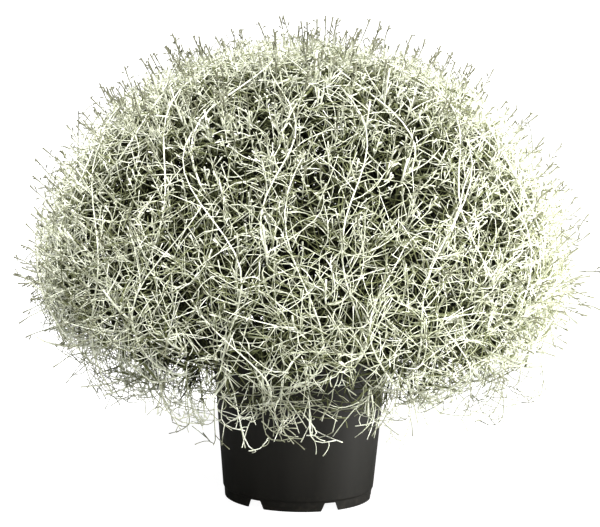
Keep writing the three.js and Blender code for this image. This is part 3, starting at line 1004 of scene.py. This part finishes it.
def pot_profile():
    neck = POT_HEIGHT - RIM_BAND
    floor_radius = pot_radius(FOOT_HEIGHT) - FOOT_INSET - WALL
    return [
        (0, FOOT_HEIGHT),
        (floor_radius, FOOT_HEIGHT),
        (BASE_RADIUS - FOOT_INSET - WALL, 0),
        (BASE_RADIUS - FOOT_INSET, 0),
        (pot_radius(FOOT_HEIGHT) - FOOT_INSET, FOOT_HEIGHT),
        (pot_radius(FOOT_HEIGHT + FOOT_STEP), FOOT_HEIGHT + FOOT_STEP),
        (NECK_RADIUS, neck),
        (RIM_RADIUS - RIM_LEDGE, neck + RIM_LEDGE),
        (RIM_RADIUS, POT_HEIGHT - RIM_BEVEL[1]),
        (RIM_RADIUS - RIM_BEVEL[0], POT_HEIGHT),
        (NECK_RADIUS + LIP_WIDTH, POT_HEIGHT),
        (NECK_RADIUS - WALL, POT_HEIGHT - LIP_FALL),
        (floor_radius, FOOT_HEIGHT + WALL),
        (0, FOOT_HEIGHT + WALL),
    ]


def prism(outline, low, high):
    """Corners and faces of a prism: an outline of (across, up) pairs drawn along x."""
    count = len(outline)
    corners = [(x, aside, up) for x in (low, high) for aside, up in outline]
    faces = [tuple(range(count))[::-1], tuple(range(count, 2 * count))]
    for side in range(count):
        after = (side + 1) % count
        faces.append((side, after, count + after, count + side))
    return corners, faces


def build_mesh(name, parts):
    """One mesh of many (corners, faces) parts."""
    mesh = bpy.data.meshes.new(name)
    corners, faces = [], []
    for some_corners, some_faces in parts:
        faces += [tuple(len(corners) + place for place in face) for face in some_faces]
        corners += [tuple(corner) for corner in some_corners]
    mesh.from_pydata(corners, [], faces)
    mesh.update()
    return mesh


def turned_about(corners, heading):
    cosine, sine = cos(heading), sin(heading)
    return [(x * cosine - y * sine, x * sine + y * cosine, z) for x, y, z in corners]


def add_object(name, data):
    """A new object in the scene, with this mesh, light or camera."""
    holder = bpy.data.objects.new(name, data)
    bpy.context.scene.collection.objects.link(holder)
    return holder


def pot_mesh():
    """The pot: a fine smooth lathe with the notches and drainage holes cut through it."""
    notch = [
        (-NOTCH_FOOT_WIDTH / 2, -NOTCH_BELOW),
        (NOTCH_FOOT_WIDTH / 2, -NOTCH_BELOW),
        (NOTCH_TOP_WIDTH / 2, NOTCH_HEIGHT),
        (-NOTCH_TOP_WIDTH / 2, NOTCH_HEIGHT),
    ]
    ring = np.arange(DRAIN_SIDES) * TURN / DRAIN_SIDES
    hole = [around(DRAIN_RADIUS, a, 0)[:2] for a in ring]
    cutters = []
    for number in range(NOTCH_COUNT):
        heading = FIRST_NOTCH - pi / 2 + number * TURN / NOTCH_COUNT
        corners, faces = prism(notch, *NOTCH_CUT)
        cutters.append((turned_about(corners, heading), faces))
        corners, faces = prism(hole, FOOT_HEIGHT - WALL, FOOT_HEIGHT + 2 * WALL)
        upright = [(DRAIN_RING_RADIUS + y, z, x) for x, y, z in corners]
        cutters.append((turned_about(upright, heading), faces))
    blank = build_mesh("pot_blank", [lathe(rounded(pot_profile()), POT_SIDES)])
    body = add_object("pot_blank", blank)
    cutter = add_object("pot_cutter", build_mesh("pot_cutter", cutters))
    carve = body.modifiers.new("carve", "BOOLEAN")
    carve.operation = "DIFFERENCE"
    carve.solver = "EXACT"
    carve.object = cutter
    depsgraph = bpy.context.evaluated_depsgraph_get()
    mesh = bpy.data.meshes.new_from_object(body.evaluated_get(depsgraph))
    for obj in (body, cutter):
        bpy.data.objects.remove(obj)
    mesh.name = "nursery_pot"
    mesh.polygons.foreach_set("use_smooth", np.ones(len(mesh.polygons), bool))
    mesh.set_sharp_from_angle(angle=radians(32))
    return mesh


def crumb_height(x, y):
    """Uneven soil: a sum of warped waves that stands in for lumps, from -1 to 1."""
    height = 0.0
    for size, share, shift in SOIL_WAVES:
        pace = TURN / size
        wave = sin(pace * x + shift + 1.3 * sin(pace * 0.7 * y))
        warp = 1.1 * sin(pace * 0.8 * x)
        height += share * wave * sin(pace * y + 2 * shift + warp)
    return height


def soil_height(x, y, edge):
    share = min(hypot(x, y) / edge, 1)
    return SOIL_TOP + SOIL_CROWN * (1 - share**2) + SOIL_CRUMB / 2 * crumb_height(x, y)


def crumbs(count, size, edge, rng):
    """Small angular lumps that lie on the soil."""
    shape = np.array([(1, 0, 0), (0, 1, 0), (-1, 0, 0), (0, -1, 0), (0, 0, 0.9), (0, 0, -0.9)])
    faces = [(0, 1, 4), (1, 2, 4), (2, 3, 4), (3, 0, 4), (1, 0, 5), (2, 1, 5), (3, 2, 5), (0, 3, 5)]
    farthest = edge - 0.004
    lumps = []
    for _ in range(count):
        out, heading = farthest * sqrt(rng.uniform(0, 1)), rng.uniform(0, TURN)
        place = around(out, heading, 0.0)
        place[2] = soil_height(place[0], place[1], edge)
        turned = turned_about(shape * rng.uniform(0.6, 1.3, (6, 1)), rng.uniform(0, TURN))
        lump = np.array(turned) * rng.uniform(*size) * rng.uniform(0.7, 1.2, 3)
        lumps.append((lump + place, faces))
    return lumps


def soil_mesh(rng):
    """The soil with lumps and a little perlite lying on it, and how many of its faces are dark."""
    base = FOOT_HEIGHT + WALL + SOIL_GAP
    foot, edge = (pot_radius(z) - FOOT_INSET - WALL - SOIL_GAP for z in (base, SOIL_TOP))
    rings = [(0, base), (foot, base)]
    rings += [(edge * share, SOIL_TOP) for share in np.linspace(1, 0, SOIL_RINGS)]
    corners, faces = lathe(rings, SOIL_AROUND)
    top = [(x, y, soil_height(x, y, edge) if z == SOIL_TOP else z) for x, y, z in corners]
    parts = [(top, faces)] + crumbs(CRUMB_COUNT, CRUMB_SIZE, edge, rng)
    dark = sum(len(some_faces) for _, some_faces in parts)
    parts += crumbs(PERLITE_COUNT, PERLITE_SIZE, edge, rng)
    return build_mesh("potting_soil", parts), dark


# Materials


class Nodes:
    """Short ways to add nodes to a material or a world. Each input is a socket or a plain value."""

    def __init__(self, owner):
        owner.use_nodes = True
        self.nodes, self.links = owner.node_tree.nodes, owner.node_tree.links

    def feed(self, socket, value):
        if isinstance(value, bpy.types.NodeSocket):
            self.links.new(value, socket)
        else:
            socket.default_value = value

    def add(self, kind, output, inputs=(), **settings):
        """One output of a new node with these settings, and its (title or number, value) inputs."""
        node = self.nodes.new("ShaderNode" + kind)
        for title, value in settings.items():
            setattr(node, title, value)
        for place, value in inputs:
            self.feed(node.inputs[place], value)
        return node.outputs[output]

    def attribute(self, title):
        return self.add("Attribute", "Fac", attribute_name=title)

    def noise(self, coordinates, scale, detail=2.0):
        inputs = ("Vector", coordinates), ("Scale", scale), ("Detail", detail)
        return self.add("TexNoise", "Fac", inputs)

    def ramp(self, factor, stops):
        node = self.nodes.new("ShaderNodeValToRGB")
        elements = node.color_ramp.elements
        while len(elements) < len(stops):
            elements.new(0.5)
        for element, (position, colour) in zip(elements, stops):
            element.position = position
            element.color = (*colour, 1)
        self.feed(node.inputs["Fac"], factor)
        return node.outputs["Color"]

    def times(self, a, b):
        return self.add("Math", "Value", ((0, a), (1, b)), operation="MULTIPLY")

    def remap(self, value, given, wanted):
        titles = "Value", "From Min", "From Max", "To Min", "To Max"
        return self.add("MapRange", "Result", zip(titles, (value, *given, *wanted)))

    def mix(self, kind, factor, a, b):
        """A mix of two colours, which a mix node takes as its inputs 6 and 7 and gives as output 2."""
        inputs = (0, factor), (6, a), (7, b)
        return self.add("Mix", 2, inputs, data_type="RGBA", blend_type=kind)


class Surface(Nodes):
    """A new material with one principled shader, and the coordinates of the object it is on."""

    def __init__(self, name):
        self.material = bpy.data.materials.new(name)
        super().__init__(self.material)
        self.inputs = self.nodes["Principled BSDF"].inputs
        self.coordinates = self.add("TexCoord", "Object")

    def grain(self, scale, detail=2.0):
        return self.noise(self.coordinates, scale, detail)

    def shade(self, colour, roughness, specular=0.5):
        self.feed(self.inputs["Base Color"], colour)
        self.feed(self.inputs["Roughness"], roughness)
        self.feed(self.inputs["Specular IOR Level"], specular)

    def bump(self, height, strength, distance):
        inputs = ("Height", height), ("Strength", strength), ("Distance", distance)
        self.feed(self.inputs["Normal"], self.add("Bump", "Normal", inputs))


def felt_material():
    """Silver felt: pale on the outer twigs; near black deep inside, partly the bare inner twigs' own dull
    olive and partly painted shade; greyer and greener at the outermost tips, partly their own colour and
    partly painted shade at the crown's outline. The dark end of the tones paints shade on the thatch and
    on some twigs.
    """
    felt = Surface("silver_felt")
    share = felt.attribute("share")
    mottle = felt.ramp(felt.grain(260.0), FELT_MOTTLE)
    # Painted shade: the share's ramp darkens the felt deep inside and at the outline, and the tone's dark
    # end darkens the thatch and some twigs.
    tone = felt.ramp(felt.attribute("tone"), FELT_BY_TONE_AND_SHADE)
    colour = felt.mix("MULTIPLY", 1.0, felt.ramp(share, FELT_AND_SHADE_BY_SHARE), mottle)
    colour = felt.mix("MULTIPLY", 1.0, colour, tone)
    budding = felt.times(felt.attribute("bud"), felt.remap(share, BUD_SHARES, (0, 1)))
    felt.shade(felt.mix("MIX", budding, colour, BUD_COLOUR), roughness=0.9, specular=0.2)
    felt.bump(felt.grain(2400.0), strength=0.35, distance=0.0002)
    return felt.material


def pot_material():
    """Moulded black plastic: fine grain, faint upright flow marks, and some dust low down."""
    pot = Surface("black_plastic")
    mapping = ("Vector", pot.coordinates), ("Scale", PLASTIC_STRETCH)
    stretched = pot.add("Mapping", "Vector", mapping)
    flow = pot.ramp(pot.noise(stretched, 42.0, 5.0), PLASTIC_FLOW)
    height = pot.add("SeparateXYZ", "Z", [("Vector", pot.coordinates)])
    low = pot.remap(height, (DUST_TOP, 0), (0, DUST_MOST))
    dust = pot.times(low, pot.ramp(pot.grain(210.0, 6.0), DUST_SPECKS))
    roughness = pot.remap(pot.grain(95.0, 4.0), (0, 1), PLASTIC_ROUGHNESS)
    pot.shade(pot.mix("MIX", dust, flow, DUST_COLOUR), roughness, specular=0.12)
    pot.bump(pot.grain(1500.0, 3.0), strength=0.12, distance=0.0002)
    return pot.material


def soil_material(name, stops):
    """Damp soil or perlite: the same rough crumbs in other colours."""
    soil = Surface(name)
    soil.shade(soil.ramp(soil.grain(330.0, 6.0), stops), roughness=0.95)
    soil.bump(soil.grain(900.0, 6.0), strength=0.6, distance=0.0006)
    return soil.material


# The camera, the light and the floor


def add_camera():
    camera = bpy.data.cameras.new("camera")
    holder = add_object("camera", camera)
    aim = Matrix.Rotation(pi / 2 - LOOK_DOWN, 4, "X") @ Matrix.Rotation(ROLL, 4, "Z")
    holder.location = (CAMERA_ASIDE, -CAMERA_DISTANCE, CAMERA_HEIGHT)
    holder.rotation_euler = aim.to_euler()
    camera.sensor_width = 36.0
    camera.lens = camera.sensor_width * (CAMERA_DISTANCE / cos(LOOK_DOWN)) / FRAME_WIDTH
    camera.clip_end = 200.0
    bpy.context.scene.camera = holder


def add_sun(name, azimuth, elevation, spread, strength):
    """A soft sun. Azimuth 0 is the camera's side, and 90 is the right."""
    light = bpy.data.lights.new(name, "SUN")
    light.energy = strength
    light.angle = radians(spread)
    holder = add_object(name, light)
    holder.rotation_euler = (radians(90 - elevation), 0.0, radians(azimuth))


def add_softbox(name, place, width, height, power):
    """A soft panel that faces the plant, and that no camera sees."""
    light = bpy.data.lights.new(name, "AREA")
    light.shape = "RECTANGLE"
    light.size = width
    light.size_y = height
    light.energy = power
    holder = add_object(name, light)
    holder.location = place
    aim = Vector((0.0, 0.0, 0.2)) - Vector(place)
    holder.rotation_euler = aim.to_track_quat("-Z", "Y").to_euler()
    holder.visible_camera = False


def add_world():
    """A white studio to the camera, and a dimmer one as the light that fills the shadows."""
    world = bpy.data.worlds.new("studio")
    studio = Nodes(world)
    seen = studio.add("LightPath", "Is Camera Ray")
    colour = studio.mix("MIX", seen, STUDIO_FILL, STUDIO_WHITE)
    studio.feed(studio.nodes["Background"].inputs["Color"], colour)
    bpy.context.scene.world = world


def add_floor():
    """A pale floor that glows to the camera, so that it meets the white studio with no edge."""
    half = 60.0
    corners = [(-half, -half, 0), (half, -half, 0), (half, half, 0), (-half, half, 0)]
    mesh = build_mesh("floor", [(corners, [(0, 1, 2, 3)])])
    pale = Surface("pale_floor")
    tint = pale.ramp(pale.grain(3.0), FLOOR_TINT)
    pale.shade(tint, roughness=0.9)
    seen = pale.add("LightPath", "Is Camera Ray")
    pale.feed(pale.inputs["Emission Color"], tint)
    pale.feed(pale.inputs["Emission Strength"], pale.times(seen, FLOOR_GLOW))
    mesh.materials.append(pale.material)
    floor = add_object("floor", mesh)


def add_piece(name, mesh, material, node):
    """A finer piece that rides on the part and takes the place of one of its nodes."""
    piece = add_object(name, mesh)
    mesh.materials.append(material)
    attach(piece, "root")
    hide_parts(node)


add_piece("nursery_pot", pot_mesh(), pot_material(), "pot")

soil, dark_faces = soil_mesh(np.random.default_rng([SEED, 2000]))
add_piece("potting_soil", soil, soil_material("damp_soil", DAMP_SOIL), "soil")
soil.materials.append(soil_material("perlite", PERLITE))
for face in soil.polygons[dark_faces:]:
    face.material_index = 1

felt = felt_material()
crown = grow_crown(grow_limbs())
for index in range(STEM_COUNT):
    number = f"{index + 1:02d}"
    mesh = spray_mesh(f"spray_{number}", crown, index)
    add_piece(mesh.name, mesh, felt, f"leafy_stem_{number}")

add_camera()
add_sun("key", azimuth=14, elevation=58, spread=10, strength=7.6)
add_sun("fill", azimuth=-8, elevation=10, spread=16, strength=1.2)
add_softbox("side", (0.80, -0.22, 0.10), width=0.40, height=0.22, power=14)
add_world()
add_floor()
bpy.context.scene.view_settings.view_transform = "Standard"
